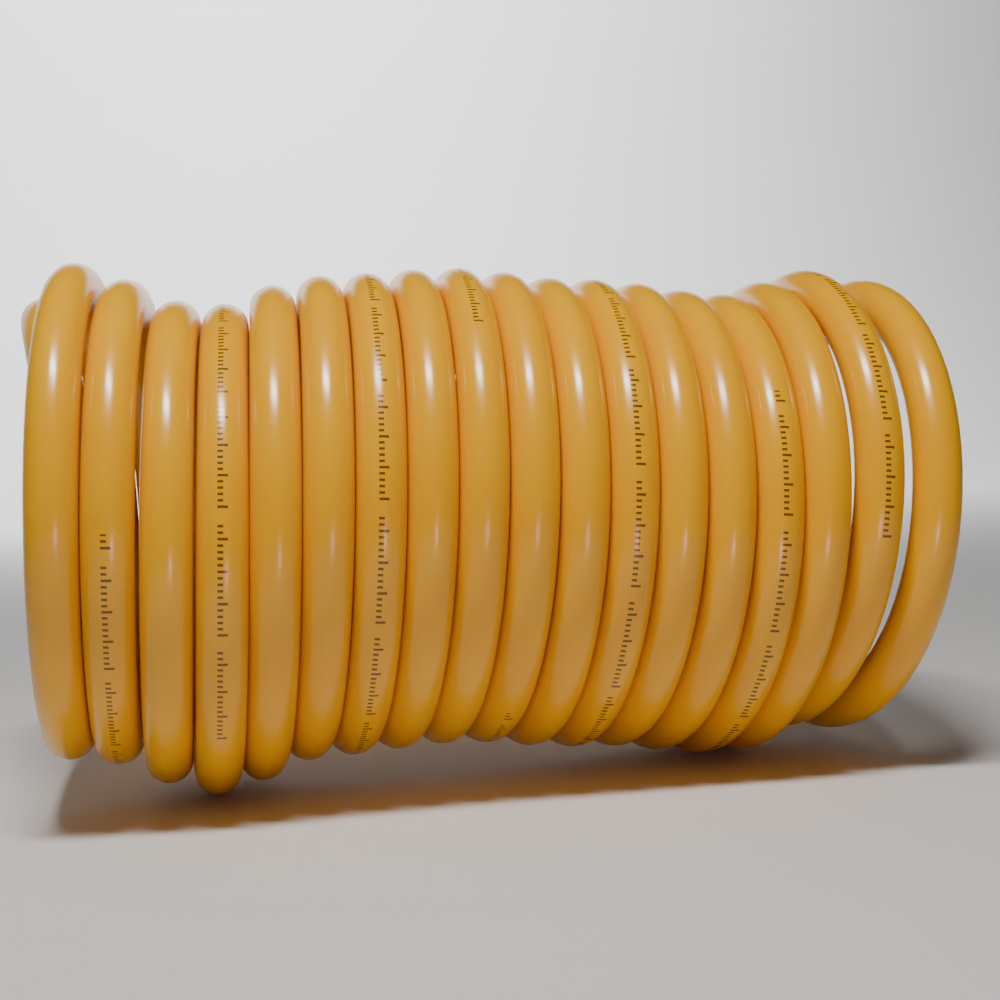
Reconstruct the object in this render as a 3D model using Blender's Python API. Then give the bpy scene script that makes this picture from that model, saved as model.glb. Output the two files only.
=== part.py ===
"""Coiled nylon air hose with a rigid male fitting on one end and a swivel male fitting on the other.

The coil lies on its side with its axis along +X. The inlet end is fed back through the coil, so that
its fitting lies in the bore and looks out of the right mouth. The outlet end leaves the last turn at
the back and lies on the floor behind the coil (+Y). Every size is in metres. Each sub-part is one
closed body with its own material. The coil's turns are one plain hollow body of their outer shape.
"""

import math

import bpy
import numpy as np
from mathutils import Vector

# ---------------------------------------------------------------- hose
HOSE_OD = 0.0127
HOSE_ID = 0.009525
GAP = 0.0003
TURNS = 18
COIL_MEAN_D = 0.1235
TURN_PITCH = HOSE_OD + GAP
END_TURN_SPLAY = 0.0022
COIL_SIDES = 36
TAIL_SIDES = 12

# How far each turn sits above or below the coil's straight axis, in hose diameters.
SAG_KNOTS = (
    (0.0, 0.51),
    (1.0, 0.48),
    (3.9, -0.52),
    (6.0, 0.09),
    (9.0, 0.21),
    (12.0, -0.10),
    (15.5, -0.52),
    (17.0, 0.02),
    (18.5, -0.28),
)
LEAN_FIRST = 0.03
LEAN_LAST = 0.35

# ---------------------------------------------------------------- tails
INLET_LEAVES_AT = 0.42
INLET_NESTS_AT = -0.04
INLET_NEST_SHIFT = 0.0010
INLET_SWEEP_R = 0.0660
INLET_NOSE_BACK = 0.0040
BORE_REST_Y = 0.25
BORE_REST_Z = -0.93
BORE_REST_GAP = 0.0006
NEST_CLEAR = 0.0150
OUTLET_BEND_R = 0.0540
OUTLET_STRAIGHT = 0.0420
OUTLET_EASE = 1.25
TAIL_STEP = 0.0062
FINE_STEP = 0.0020
EVEN_OUT_PASSES = 320

# ---------------------------------------------------------------- fittings, measured from the nose
BORE_R = 0.0030
THREAD_LENGTH = 0.0140
THREAD_NOSE_R = 0.00655
THREAD_ROOT_R = 0.00705
THREAD_RELIEF = 0.0006
CHAMFER = 0.0006
HEX_START = THREAD_LENGTH + 0.0005
BODY_HEX_AF = 0.0159
BODY_HEX_LENGTH = 0.0080
NECK_R = 0.0082
NECK_LENGTH = 0.0075
BARB_R = 0.0043
STEM_R = 0.0038
STEM_LENGTH = 0.0200
STEM_PLAIN = 0.0010
BARB_COUNT = 4
BARB_RAMP_IN = 0.0002
BARB_RAMP_OUT = 0.0010
NUT_HEX_AF = 0.01905
NUT_LENGTH = 0.0225
NUT_HEX_SHARE = 0.66
NUT_COLLAR_STEP = 0.0001
GUARD_POCKET = 0.0050
FERRULE_LENGTH = 0.0060
FERRULE_LIP = 0.0004
FERRULE_PLAY = 0.0002
FERRULE_TAPER = 0.0012
GUARD_WIRE_D = 0.0015
GUARD_PLAY = 0.0008
GUARD_MEAN_R = HOSE_OD / 2 + GUARD_PLAY + GUARD_WIRE_D / 2
GUARD_LENGTH = 0.0520
GUARD_TURNS = 12
GUARD_CLOSED_TURNS = 2
SWIVEL_SPIGOT_R = 0.0052
SWIVEL_HEX_LENGTH = 0.0100
SPIGOT_END = 0.0105
SPIGOT_CHAMFER = 0.0004
SEAL_START = 0.0130
SEAL_GROOVE_LENGTH = 0.0023
SEAL_GROOVE_R = 0.0037
SEAL_MEAN_R = 0.00455
SEAL_SECTION_R = 0.0008
RING_GROOVE_NEAR = 0.0028
RING_GROOVE_FAR = 0.0044
RING_GROOVE_R = 0.0042
RING_GROOVE_DEPTH = 0.0010
RING_MEAN_R = 0.00535
RING_HALF_WIDTH = 0.0005
STEM_FLANGE_LENGTH = 0.0016
STEM_FLANGE_R = NECK_R + 0.0006
LATHE_SEGMENTS = 24
STRAIGHT_PLAY = 0.0020
NUT_FACE = HEX_START + SWIVEL_HEX_LENGTH + STEM_FLANGE_LENGTH + 2.0 * GAP
GUARD_REACH = NUT_FACE + NUT_LENGTH - GUARD_POCKET + GAP + GUARD_WIRE_D + GUARD_LENGTH + STRAIGHT_PLAY

HOSE_R = HOSE_OD / 2
COIL_R = COIL_MEAN_D / 2
FIRST_TURN = 0.5
LAST_TURN = FIRST_TURN + TURNS


# ---------------------------------------------------------------- helpers
def clear_scene():
    """Remove everything the start-up file brought in."""
    for old in list(bpy.data.objects):
        bpy.data.objects.remove(old, do_unlink=True)


def make_material(name, colour, metallic, roughness):
    """Return a Principled material with the given colour."""
    material = bpy.data.materials.new(name)
    material.use_nodes = True
    shader = material.node_tree.nodes["Principled BSDF"]
    shader.inputs["Base Color"].default_value = (*colour, 1.0)
    shader.inputs["Metallic"].default_value = metallic
    shader.inputs["Roughness"].default_value = roughness
    material.diffuse_color = (*colour, 1.0)
    return material


def add_object(name, points, faces, material, origin=(0.0, 0.0, 0.0)):
    """Make one closed mesh object whose origin lies at the given point."""
    shift = Vector(origin)
    mesh = bpy.data.meshes.new(name)
    mesh.from_pydata([Vector(p) - shift for p in points], [], faces)
    mesh.validate()
    mesh.update()
    obj = bpy.data.objects.new(name, mesh)
    obj.location = shift
    bpy.context.scene.collection.objects.link(obj)
    mesh.materials.append(material)
    mesh.shade_smooth()
    mesh.set_sharp_from_angle(angle=math.radians(50.0))
    return obj


def smooth_step(value):
    """Ease a number in 0..1 with flat ends."""
    value = min(max(value, 0.0), 1.0)
    return value * value * (3.0 - 2.0 * value)


def from_knots(knots, where):
    """Read a smooth curve through (position, height) knots."""
    for (left, low), (right, high) in zip(knots, knots[1:]):
        if where <= right:
            return low + (high - low) * smooth_step((where - left) / (right - left))
    return knots[-1][1]


# ---------------------------------------------------------------- the hose's centre line
def coil_x(turn):
    """Return the coil's position along X at a turn number."""
    middle = FIRST_TURN + TURNS / 2
    return (turn - middle) * TURN_PITCH + END_TURN_SPLAY * smooth_step(turn - LAST_TURN + 1.5)


def sag(turn):
    """Return how far the coil's axis lies above its straight line at a turn number."""
    return from_knots(SAG_KNOTS, turn * 18.0 / TURNS) * HOSE_OD


def lean(turn):
    """Return how far the top of a turn leans towards +X."""
    return HOSE_OD * (LEAN_FIRST + (LEAN_LAST - LEAN_FIRST) * (turn - FIRST_TURN) / TURNS)


def coil_point(turn, radius=COIL_R, x=None):
    """Return a point of the left-handed helix; whole turn numbers are at the front."""
    angle = 2.0 * math.pi * turn
    beside = turn
    if x is None:
        x = coil_x(turn)
    else:
        beside = FIRST_TURN + (x - coil_x(FIRST_TURN)) / TURN_PITCH
    x += lean(beside) * math.sin(angle)
    return np.array([x, -radius * math.cos(angle), sag(beside) + radius * math.sin(angle)])


def unit(vector):
    """Return a vector's direction."""
    vector = np.array(vector)
    return vector / np.linalg.norm(vector)


def evenly(points, step):
    """Return points at even distances along a finely drawn line."""
    points = np.array(points)
    length = np.concatenate([[0.0], np.cumsum(np.linalg.norm(np.diff(points, axis=0), axis=1))])
    count = max(4, int(round(length[-1] / step)))
    at = np.linspace(0.0, length[-1], count + 1)
    return np.stack([np.interp(at, length, points[:, axis]) for axis in range(3)], axis=1)


def finish_route(fine, hose_end):
    """Even out the bends of a finely drawn line as a stiff hose does, and run it straight to its end."""
    line = evenly(fine, FINE_STEP)
    for _ in range(EVEN_OUT_PASSES):
        line[1:-1] = (line[:-2] + 2.0 * line[1:-1] + line[2:]) / 4.0
    line = np.vstack([line, np.linspace(line[-1], hose_end, 30)[1:]])
    return evenly(line, TAIL_STEP)


def inlet_route(nose_axis, hose_end):
    """Return the inlet tail's centre line: it spirals inside the first turns, then follows the bore."""
    nested_r = COIL_R - HOSE_OD - 5.0 * GAP
    fine = []
    for turn in np.linspace(INLET_LEAVES_AT, INLET_NESTS_AT, 120):
        share = smooth_step((INLET_LEAVES_AT - turn) / (INLET_LEAVES_AT - INLET_NESTS_AT))
        radius = COIL_R + (nested_r - COIL_R) * share
        x = coil_x(INLET_LEAVES_AT) + (TURN_PITCH + INLET_NEST_SHIFT) * share
        fine.append(coil_point(turn, radius, x))
    start_x = coil_x(INLET_LEAVES_AT) + TURN_PITCH + INLET_NEST_SHIFT
    for sweep in np.linspace(0.0, math.pi / 2, 60)[1:]:
        turn = INLET_NESTS_AT - INLET_SWEEP_R * math.sin(sweep) / nested_r / (2.0 * math.pi)
        x = start_x + INLET_SWEEP_R * (1.0 - math.cos(sweep))
        fine.append(coil_point(turn, nested_r, x))
    guard_end = nose_axis.at(GUARD_REACH)
    fine += ease_between(fine[-1], (1.0, 0.0, 0.0), guard_end, (1.0, 0.0, 0.0))
    return finish_route(fine, nose_axis.at(hose_end))


def outlet_route(nose_axis, hose_end):
    """Return the outlet tail's centre line: down from the last turn, then back along the floor."""
    start = coil_point(LAST_TURN)
    along = coil_point(LAST_TURN + 0.001) - start
    guard_end = nose_axis.at(GUARD_REACH)
    fine = ease_between(start, unit(along), guard_end, (0.0, 1.0, 0.0), OUTLET_EASE)
    return finish_route(fine, nose_axis.at(hose_end))


def ease_between(p0, d0, p1, d1, reach=1.0):
    """Return points of a smooth curve from one point and direction to another."""
    p0, p1 = np.array(p0), np.array(p1)
    size = reach * np.linalg.norm(p1 - p0)
    t0, t1 = np.array(d0) * size, np.array(d1) * size
    points = []
    for u in np.linspace(0.0, 1.0, 80)[1:]:
        a = 2 * u**3 - 3 * u**2 + 1
        b = u**3 - 2 * u**2 + u
        points.append(a * p0 + b * t0 + (1 - a) * p1 + (u**3 - u**2) * t1)
    return points


def tube(path, outer_r, inner_r, sides):
    """Return the points and faces of a hollow tube along a path, its ends closed by flat rings."""
    count = len(path)
    tangents = np.gradient(path, axis=0)
    tangents /= np.linalg.norm(tangents, axis=1)[:, None]
    out = np.cross(tangents[0], (0.3, 0.5, 0.8))
    points = []
    for centre, along in zip(path, tangents):
        out = out - along * (out @ along)
        out /= np.linalg.norm(out)
        side = np.cross(along, out)
        for radius in (outer_r, inner_r):
            for k in range(sides):
                turn = 2.0 * math.pi * (k + 0.5) / sides
                points.append(centre + radius * (math.cos(turn) * out + math.sin(turn) * side))
    faces = []
    ring = 2 * sides
    for i in range(count - 1):
        for k in range(sides):
            n = (k + 1) % sides
            a, b = i * ring, (i + 1) * ring
            faces.append((a + k, a + n, b + n, b + k))
            a, b = a + sides, b + sides
            faces.append((a + n, a + k, b + k, b + n))
    last = (count - 1) * ring
    for k in range(sides):
        n = (k + 1) % sides
        faces.append((n, k, sides + k, sides + n))
        faces.append((last + k, last + n, last + sides + n, last + sides + k))
    return points, faces


def wire(path, radius, sides):
    """Return the points and faces of a solid round wire along a path."""
    tangents = np.gradient(path, axis=0)
    tangents /= np.linalg.norm(tangents, axis=1)[:, None]
    out = np.cross(tangents[0], (0.3, 0.5, 0.8))
    points = []
    for centre, along in zip(path, tangents):
        out = out - along * (out @ along)
        out /= np.linalg.norm(out)
        side = np.cross(along, out)
        for k in range(sides):
            turn = 2.0 * math.pi * k / sides
            points.append(centre + radius * (math.cos(turn) * out + math.sin(turn) * side))
    faces = []
    for i in range(len(path) - 1):
        for k in range(sides):
            n = (k + 1) % sides
            a, b = i * sides, (i + 1) * sides
            faces.append((a + k, a + n, b + n, b + k))
    last = (len(path) - 1) * sides
    faces.append(tuple(range(sides))[::-1])
    faces.append(tuple(range(last, last + sides)))
    return points, faces


class FittingAxis:
    """A fitting's own axis: the nose sits at the origin and distances grow towards the hose."""

    def __init__(self, nose, towards_hose):
        self.nose = np.array(nose)
        self.along = np.array(towards_hose)
        self.up = np.array([0.0, 0.0, 1.0])
        self.side = np.cross(self.along, self.up)

    def at(self, distance, radius=0.0, angle=0.0):
        """Return the world point at a distance from the nose, a radius and an angle from straight up."""
        off = math.cos(angle) * self.up + math.sin(angle) * self.side
        return self.nose + self.along * distance + off * radius


def turned(name, axis, rings, material, origin=0.0, segments=LATHE_SEGMENTS):
    """Make a turned piece from a closed loop of (distance, radius, is_hexagon) rings."""
    points = []
    doubled_area = 0.0
    for (s0, r0, _), (s1, r1, _) in zip(rings, list(rings[1:]) + [rings[0]]):
        doubled_area += s1 * r0 - s0 * r1
    for distance, radius, is_hexagon in rings:
        for k in range(segments):
            angle = 2.0 * math.pi * k / segments
            reach = radius
            if is_hexagon:
                off = (angle + math.pi / 6) % (math.pi / 3) - math.pi / 6
                reach = radius / math.cos(off)
            points.append(axis.at(distance, reach, angle))
    faces = []
    for i in range(len(rings)):
        j = (i + 1) % len(rings)
        for k in range(segments):
            n = (k + 1) % segments
            faces.append((i * segments + k, i * segments + n, j * segments + n, j * segments + k))
    if doubled_area < 0.0:
        faces = [face[::-1] for face in faces]
    return add_object(name, points, faces, material, axis.at(origin))


def barb_rings(neck_end):
    """Return the rings of the barbed stem beyond the neck, closed at the bore."""
    rings = []
    start = neck_end + STEM_PLAIN
    pitch = (STEM_LENGTH - STEM_PLAIN) / BARB_COUNT
    for k in range(BARB_COUNT):
        rings.append((start + k * pitch + BARB_RAMP_IN, STEM_R, False))
        rings.append((start + k * pitch + BARB_RAMP_OUT, BARB_R, False))
        rings.append((start + (k + 1) * pitch, STEM_R, False))
    rings.append((neck_end + STEM_LENGTH + BARB_RAMP_IN, BORE_R, False))
    return rings


def nose_rings():
    """Return the rings of a male end from its bore over the taper thread to the hexagon."""
    return [
        (0.0, BORE_R, False),
        (0.0, THREAD_NOSE_R - CHAMFER, False),
        (CHAMFER, THREAD_NOSE_R, False),
        (THREAD_LENGTH, THREAD_ROOT_R, False),
        (THREAD_LENGTH + CHAMFER / 3, THREAD_ROOT_R - THREAD_RELIEF, False),
        (HEX_START, BODY_HEX_AF / 2, True),
    ]


def spring_guard(name, axis, start, material):
    """Make a spring guard: two closed turns at the nut and an open helix over the hose."""
    closed = GUARD_CLOSED_TURNS * (GUARD_WIRE_D + GAP)
    total = GUARD_CLOSED_TURNS + GUARD_TURNS
    path = []
    for turn in np.linspace(0.0, total, total * 9 + 1):
        if turn < GUARD_CLOSED_TURNS:
            distance = turn / GUARD_CLOSED_TURNS * closed
        else:
            distance = closed + (turn - GUARD_CLOSED_TURNS) / GUARD_TURNS * (GUARD_LENGTH - closed)
        path.append(axis.at(start + distance, GUARD_MEAN_R, 2.0 * math.pi * turn))
    points, faces = wire(np.array(path), GUARD_WIRE_D / 2, 5)
    return add_object(name, points, faces, material, axis.at(start))


def hose_nut(name, axis, start, material):
    """Make the hexagon nut that clamps the hose and holds the end of the spring guard."""
    end = start + NUT_LENGTH
    hex_end = start + NUT_LENGTH * NUT_HEX_SHARE
    step = start + NECK_LENGTH + FERRULE_LENGTH
    pocket = end - GUARD_POCKET
    flat = NUT_HEX_AF / 2
    collar = flat - NUT_COLLAR_STEP
    thread_r = NECK_R + GAP
    hose_hole = HOSE_R + 2 * GAP
    guard_r = GUARD_MEAN_R + GUARD_WIRE_D / 2 + GAP
    rings = (
        (start, flat - CHAMFER, False),
        (start + CHAMFER, flat, True),
        (hex_end, flat, True),
        (hex_end, collar, False),
        (end, collar, False),
        (end, guard_r, False),
        (pocket, guard_r, False),
        (pocket, hose_hole, False),
        (step + GUARD_WIRE_D, hose_hole, False),
        (step, thread_r, False),
        (start, thread_r, False),
    )
    return turned(name, axis, rings, material, start)


def ferrule(name, axis, start, material):
    """Make the split brass sleeve squeezed between the nut and the hose."""
    inner = HOSE_R + GAP
    outer = NECK_R - FERRULE_PLAY
    rings = (
        (start, inner + FERRULE_LIP, False),
        (start + FERRULE_TAPER, outer, False),
        (start + FERRULE_LENGTH - 2 * FERRULE_TAPER, outer, False),
        (start + FERRULE_LENGTH, inner + FERRULE_LIP, False),
        (start + FERRULE_LENGTH, inner, False),
        (start, inner, False),
    )
    return turned(name, axis, rings, material, start, 18)


def rigid_body(name, axis, material):
    """Make the one-piece male body: taper thread, hexagon, nut thread and barbed stem."""
    hex_end = HEX_START + BODY_HEX_LENGTH
    neck_end = hex_end + NECK_LENGTH
    rings = nose_rings() + [
        (hex_end, BODY_HEX_AF / 2, True),
        (hex_end, NECK_R, False),
        (neck_end, NECK_R, False),
        (neck_end, STEM_R, False),
    ]
    turned(name, axis, rings + barb_rings(neck_end), material)
    return neck_end


def swivel_body(name, axis, material):
    """Make the male swivel body that turns freely on its stem."""
    hex_end = HEX_START + SWIVEL_HEX_LENGTH
    pocket_r = SWIVEL_SPIGOT_R + GAP
    groove_r = pocket_r + RING_GROOVE_DEPTH
    rings = nose_rings() + [
        (hex_end, BODY_HEX_AF / 2, True),
        (hex_end, pocket_r, False),
        (hex_end - RING_GROOVE_NEAR, pocket_r, False),
        (hex_end - RING_GROOVE_NEAR, groove_r, False),
        (hex_end - RING_GROOVE_FAR, groove_r, False),
        (hex_end - RING_GROOVE_FAR, pocket_r, False),
        (SPIGOT_END, pocket_r, False),
        (SPIGOT_END, BORE_R, False),
    ]
    turned(name, axis, rings, material)
    return hex_end


def swivel_stem(name, axis, body_end, material):
    """Make the stem that carries the swivel body, the nut thread and the hose barbs."""
    start = SPIGOT_END + GAP
    flange = body_end + GAP
    neck = flange + STEM_FLANGE_LENGTH
    neck_end = neck + NECK_LENGTH
    seal_end = SEAL_START + SEAL_GROOVE_LENGTH
    rings = [
        (start, BORE_R, False),
        (start, SWIVEL_SPIGOT_R - SPIGOT_CHAMFER, False),
        (start + SPIGOT_CHAMFER, SWIVEL_SPIGOT_R, False),
        (SEAL_START, SWIVEL_SPIGOT_R, False),
        (SEAL_START, SEAL_GROOVE_R, False),
        (seal_end, SEAL_GROOVE_R, False),
        (seal_end, SWIVEL_SPIGOT_R, False),
        (body_end - RING_GROOVE_FAR, SWIVEL_SPIGOT_R, False),
        (body_end - RING_GROOVE_FAR, RING_GROOVE_R, False),
        (body_end - RING_GROOVE_NEAR, RING_GROOVE_R, False),
        (body_end - RING_GROOVE_NEAR, SWIVEL_SPIGOT_R, False),
        (flange, SWIVEL_SPIGOT_R, False),
        (flange, STEM_FLANGE_R, False),
        (neck, STEM_FLANGE_R, False),
        (neck, NECK_R, False),
        (neck_end, NECK_R, False),
        (neck_end, STEM_R, False),
    ]
    turned(name, axis, rings + barb_rings(neck_end), material, start)
    return neck_end


def round_ring(name, axis, middle, mean_r, half_width, material, sides):
    """Make a ring of round or square section about the fitting's axis."""
    rings = []
    for k in range(sides):
        angle = 2.0 * math.pi * (k + 0.5) / sides
        reach = half_width / math.cos(math.pi / sides) if sides == 4 else half_width
        rings.append((middle + reach * math.cos(angle), mean_r - reach * math.sin(angle), False))
    return turned(name, axis, rings[::-1], material, middle)


# ---------------------------------------------------------------- build
def build_end_hardware(prefix, axis, neck_end, brass, steel):
    """Add the ferrule, the hose nut and the spring guard of one end."""
    nut_start = neck_end - NECK_LENGTH + GAP
    ferrule(f"{prefix}_ferrule", axis, neck_end + GAP, brass)
    hose_nut(f"{prefix}_hose_nut", axis, nut_start, brass)
    guard_start = nut_start + NUT_LENGTH - GUARD_POCKET + GAP + GUARD_WIRE_D / 2
    spring_guard(f"{prefix}_spring_guard", axis, guard_start, steel)


def centre_on_floor():
    """Move everything so that the part stands on z = 0 with its box centred on the origin."""
    bpy.context.view_layer.update()
    corners = [o.matrix_world @ v.co for o in bpy.data.objects for v in o.data.vertices]
    low = [min(c[i] for c in corners) for i in range(3)]
    high = [max(c[i] for c in corners) for i in range(3)]
    shift = Vector(((low[0] + high[0]) / 2, (low[1] + high[1]) / 2, low[2]))
    for obj in bpy.data.objects:
        obj.location -= shift


def coil_body(material):
    """Make the coil's plain body: a hollow round whose axis follows the sag of the turns."""
    rings = []
    outer = (COIL_R + HOSE_R) / math.cos(math.pi / COIL_SIDES)
    inner = COIL_R - HOSE_R
    first, last = FIRST_TURN + 0.25, LAST_TURN - 0.25
    for turn in np.linspace(first, last, TURNS + 1):
        rings.append((turn, outer))
    rings += [(turn, inner) for turn, _ in rings[::-1]]
    points = []
    faces = []
    ends = {first: -HOSE_R, last: HOSE_R}
    for turn, radius in rings:
        x = coil_x(turn) + ends.get(turn, 0.0)
        for k in range(COIL_SIDES):
            angle = 2.0 * math.pi * (k + 0.5) / COIL_SIDES
            off = lean(turn) * math.sin(angle)
            points.append((x + off, -radius * math.cos(angle), sag(turn) + radius * math.sin(angle)))
    for i in range(len(rings)):
        j = (i + 1) % len(rings)
        for k in range(COIL_SIDES):
            n = (k + 1) % COIL_SIDES
            faces.append((i * COIL_SIDES + k, j * COIL_SIDES + k, j * COIL_SIDES + n, i * COIL_SIDES + n))
    add_object("hose_coil", points, faces, material)


def build():
    """Build the hose, its two tails and both end fittings."""
    nylon = make_material("yellow_nylon", (0.85, 0.52, 0.10), 0.0, 0.28)
    brass = make_material("brass", (0.72, 0.52, 0.22), 1.0, 0.30)
    steel = make_material("zinc_plated_steel", (0.62, 0.63, 0.65), 1.0, 0.35)
    rubber = make_material("black_rubber", (0.02, 0.02, 0.02), 0.0, 0.70)

    coil_body(nylon)
    turns = np.linspace(FIRST_TURN, LAST_TURN, TURNS * 40)
    floor_z = min(sag(turn) for turn in turns) - COIL_R - HOSE_R
    mouth_x = coil_x(LAST_TURN - 0.25) + HOSE_R
    bore_r = COIL_R - HOSE_R - NUT_HEX_AF / 2 - BORE_REST_GAP
    inlet_y = BORE_REST_Y * bore_r
    inlet_z = BORE_REST_Z * bore_r
    inlet_axis = FittingAxis((mouth_x - INLET_NOSE_BACK, inlet_y, inlet_z), (-1.0, 0.0, 0.0))
    neck_end = rigid_body("inlet_male_body", inlet_axis, brass)
    build_end_hardware("inlet", inlet_axis, neck_end, brass, steel)
    route = inlet_route(inlet_axis, neck_end + GAP)
    nested = [i for i, p in enumerate(route) if p[0] > coil_x(FIRST_TURN) + NEST_CLEAR and p[1] < 0.0]
    points, faces = tube(route[nested[0]:], HOSE_R, HOSE_ID / 2, TAIL_SIDES)
    add_object("inlet_tail", points, faces, nylon)

    outlet_y = COIL_R + OUTLET_BEND_R + OUTLET_STRAIGHT + GUARD_REACH
    outlet_x = coil_x(LAST_TURN)
    outlet_nose = (outlet_x, outlet_y, floor_z + NUT_HEX_AF / 2)
    outlet_axis = FittingAxis(outlet_nose, (0.0, -1.0, 0.0))
    body_end = swivel_body("outlet_swivel_body", outlet_axis, brass)
    seal_at = SEAL_START + SEAL_GROOVE_LENGTH / 2
    round_ring("outlet_swivel_seal", outlet_axis, seal_at, SEAL_MEAN_R, SEAL_SECTION_R, rubber, 8)
    ring_at = body_end - (RING_GROOVE_NEAR + RING_GROOVE_FAR) / 2
    round_ring("outlet_retaining_ring", outlet_axis, ring_at, RING_MEAN_R, RING_HALF_WIDTH, steel, 4)
    neck_end = swivel_stem("outlet_swivel_stem", outlet_axis, body_end, brass)
    build_end_hardware("outlet", outlet_axis, neck_end, brass, steel)
    route = outlet_route(outlet_axis, neck_end + GAP)
    reach = COIL_R + HOSE_OD + 2.0 * GAP
    clear = [i for i, p in enumerate(route) if math.hypot(p[1], p[2] - sag(LAST_TURN)) > reach]
    points, faces = tube(route[clear[0]:], HOSE_R, HOSE_ID / 2, TAIL_SIDES)
    add_object("outlet_tail", points, faces, nylon)
    centre_on_floor()


clear_scene()
build()
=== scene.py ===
"""Scene of a coiled nylon air hose with a rigid and a swivel male fitting.

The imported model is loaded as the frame. One continuous hose replaces its plain coil and tails, turned and
threaded pieces replace its plain fittings, and every piece gets a procedural finish.
"""

import logging
import math
from collections.abc import Iterable, Sequence
from dataclasses import dataclass
from enum import Enum

import bmesh
import bpy
import numpy as np
from mathutils import Matrix, Vector


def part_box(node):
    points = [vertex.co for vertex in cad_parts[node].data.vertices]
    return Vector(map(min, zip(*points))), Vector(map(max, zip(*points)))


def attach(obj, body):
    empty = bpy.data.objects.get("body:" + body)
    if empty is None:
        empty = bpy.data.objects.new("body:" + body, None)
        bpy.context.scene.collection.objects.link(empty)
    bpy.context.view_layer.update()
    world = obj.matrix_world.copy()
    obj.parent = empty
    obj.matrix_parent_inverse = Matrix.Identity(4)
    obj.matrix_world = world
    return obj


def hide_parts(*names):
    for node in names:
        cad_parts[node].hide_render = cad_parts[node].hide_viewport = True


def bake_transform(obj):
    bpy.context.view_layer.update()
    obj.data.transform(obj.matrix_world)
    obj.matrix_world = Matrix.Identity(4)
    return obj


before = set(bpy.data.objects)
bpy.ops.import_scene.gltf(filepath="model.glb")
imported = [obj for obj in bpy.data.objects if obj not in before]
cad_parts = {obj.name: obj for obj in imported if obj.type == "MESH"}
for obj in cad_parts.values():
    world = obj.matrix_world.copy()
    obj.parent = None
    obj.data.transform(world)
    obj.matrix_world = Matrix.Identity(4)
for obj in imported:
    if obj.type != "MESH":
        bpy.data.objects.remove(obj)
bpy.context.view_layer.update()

logging.basicConfig(level=logging.INFO, format="%(name)s: %(message)s")
LOG = logging.getLogger("hose")
Socket = bpy.types.NodeSocket
Tint = Socket | Sequence[float]
Profile = Sequence["Ring"]


class Body(Enum):
    """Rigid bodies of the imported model."""

    COIL = "coil"
    OUTLET_END = "outlet_end"
    SWIVEL = "outlet_swivel"


class Section(Enum):
    """Outline of a turned piece at one ring."""

    ROUND = "round"
    HEXAGON = "hexagon"


class Slot(Enum):
    """Material slots of the record."""

    NYLON = "hose_nylon"
    BRASS = "fitting_brass"
    GUARD = "guard_steel"
    RING = "ring_steel"
    RUBBER = "seal_rubber"


# ---------------------------------------------------------------- finishes
@dataclass(frozen=True)
class MetalFinish:
    """A machined or drawn metal."""

    name: str
    slot: Slot
    colour: tuple[float, float, float]
    roughness: float
    tarnish: tuple[float, float, float]
    grain_scale: float
    grain_bump: float
    spread: float = 0.18
    stain_contrast: float = 2.4
    stain_floor: float = -1.0
    stain_most: float = 0.45


@dataclass(frozen=True)
class PolymerFinish:
    """A moulded or extruded polymer."""

    name: str
    slot: Slot
    colour: tuple[float, float, float]
    deep_colour: tuple[float, float, float]
    roughness: float
    scatter: float
    specular: float
    grain_scale: float = 260.0
    grain_bump: float = 0.04
    spread: float = 0.10
    depth_contrast: float = 1.6
    depth_floor: float = -0.45
    ior: float = 1.45
    scatter_radius: tuple[float, float, float] = (1.0, 0.55, 0.12)
    scatter_scale: float = 0.004


@dataclass(frozen=True)
class InkMarks:
    """A measuring scale printed at intervals along the hose, in metres."""

    colour: tuple[float, float, float]
    first: float
    period: float
    length: float
    cell: float
    width: float
    height: float
    strength: float
    group: float = 20.0
    group_shown: float = 17.5
    tall_every: float = 5.0
    short: float = 0.55


BRASS = MetalFinish("Brass", Slot.BRASS, (0.70, 0.46, 0.17), 0.24, (0.42, 0.24, 0.08), 900.0, 0.10)
ZINC = MetalFinish("Zinc wire", Slot.GUARD, (0.62, 0.63, 0.64), 0.27, (0.38, 0.38, 0.36), 1400.0, 0.06)
SPRING = MetalFinish("Spring steel", Slot.RING, (0.36, 0.37, 0.39), 0.32, (0.20, 0.18, 0.16), 1400.0, 0.06)
RUBBER = PolymerFinish("Seal rubber", Slot.RUBBER, (0.018, 0.018, 0.019), (0.01, 0.01, 0.01), 0.55, 0.0, 0.5)
NYLON = PolymerFinish("Yellow nylon", Slot.NYLON, (0.90, 0.45, 0.0), (0.86, 0.39, 0.0), 0.24, 0.10, 0.65)
FLOOR_COLOUR = (0.80, 0.80, 0.80)
HORIZON_COLOUR = (0.06, 0.06, 0.06)
OVERHEAD_COLOUR = (0.02, 0.02, 0.02)
FLOOR_ROUGHNESS = 0.85
PATCHES_PER_METRE = 45.0
GRAIN_DEPTH = 0.00005


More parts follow.
